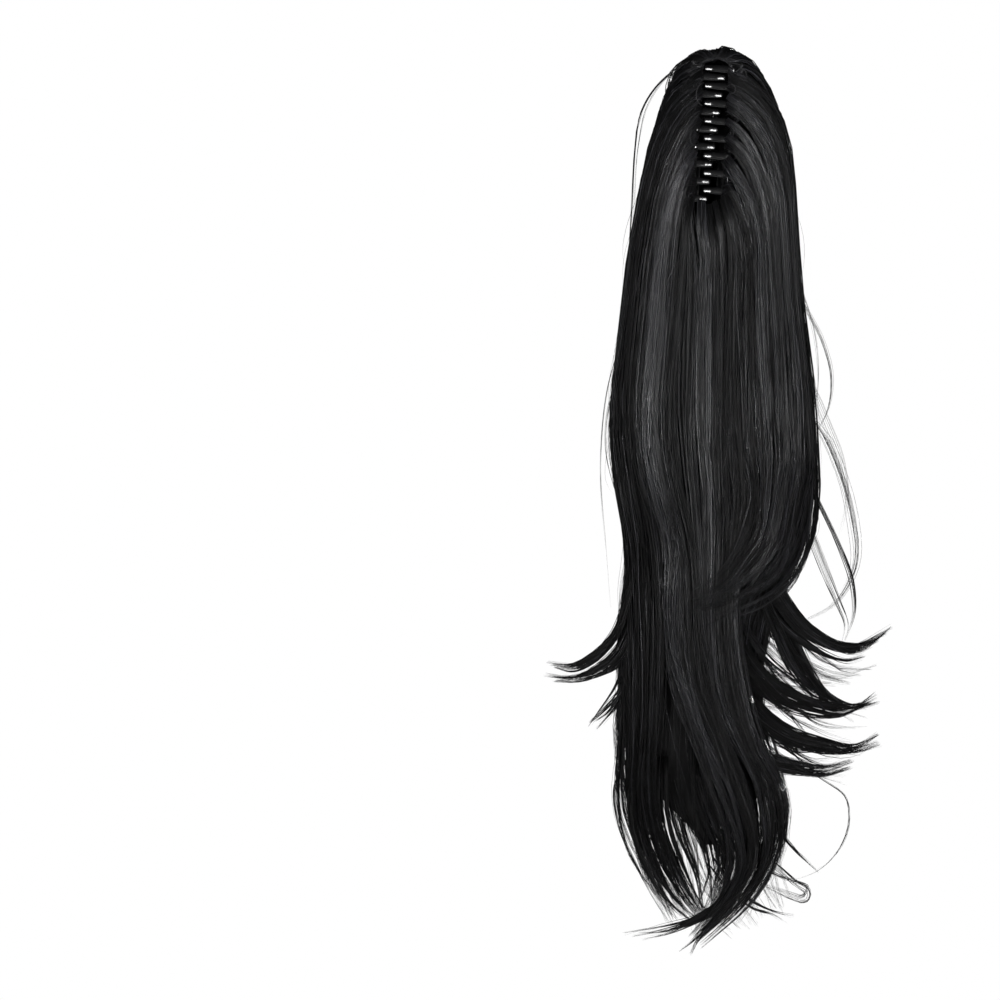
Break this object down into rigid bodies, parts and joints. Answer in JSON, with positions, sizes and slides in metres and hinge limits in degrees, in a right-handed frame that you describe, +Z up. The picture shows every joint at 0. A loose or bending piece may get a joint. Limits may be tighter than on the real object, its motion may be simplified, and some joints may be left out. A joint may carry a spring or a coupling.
{
  "type": "ponytail hairpiece",
  "caption": "Long layered claw-clip ponytail: black hair sewn to the interlocking toothed jaws of a claw, falling straight from the crown and flicking outwards towards its ends.",
  "frame": {"origin": "in the space that the closed jaws grip, halfway up the claw, where the wearer's own ponytail sits", "axes": "+Z up, from the hair's ends towards the crown; -Y is the claw side, which lies against the wearer's head; +X is to the right as seen from the claw side"},
  "size_m": [0.2175, 0.0984, 0.574],
  "materials": {
    "hair": "silky black synthetic fibre in fine locks",
    "claw_plastic": "glossy black moulded plastic",
    "pin_steel": "plain steel wire, hidden under the hair",
    "band_thread": "black sewn cord"
  },
  "bodies": {
    "root": {"jaw_left": "claw_plastic", "jaw_right": "claw_plastic", "hinge_pin": "pin_steel", "band_left": "band_thread", "band_right": "band_thread", "hair_left": "hair", "hair_right": "hair"}
  },
  "joints": []
}
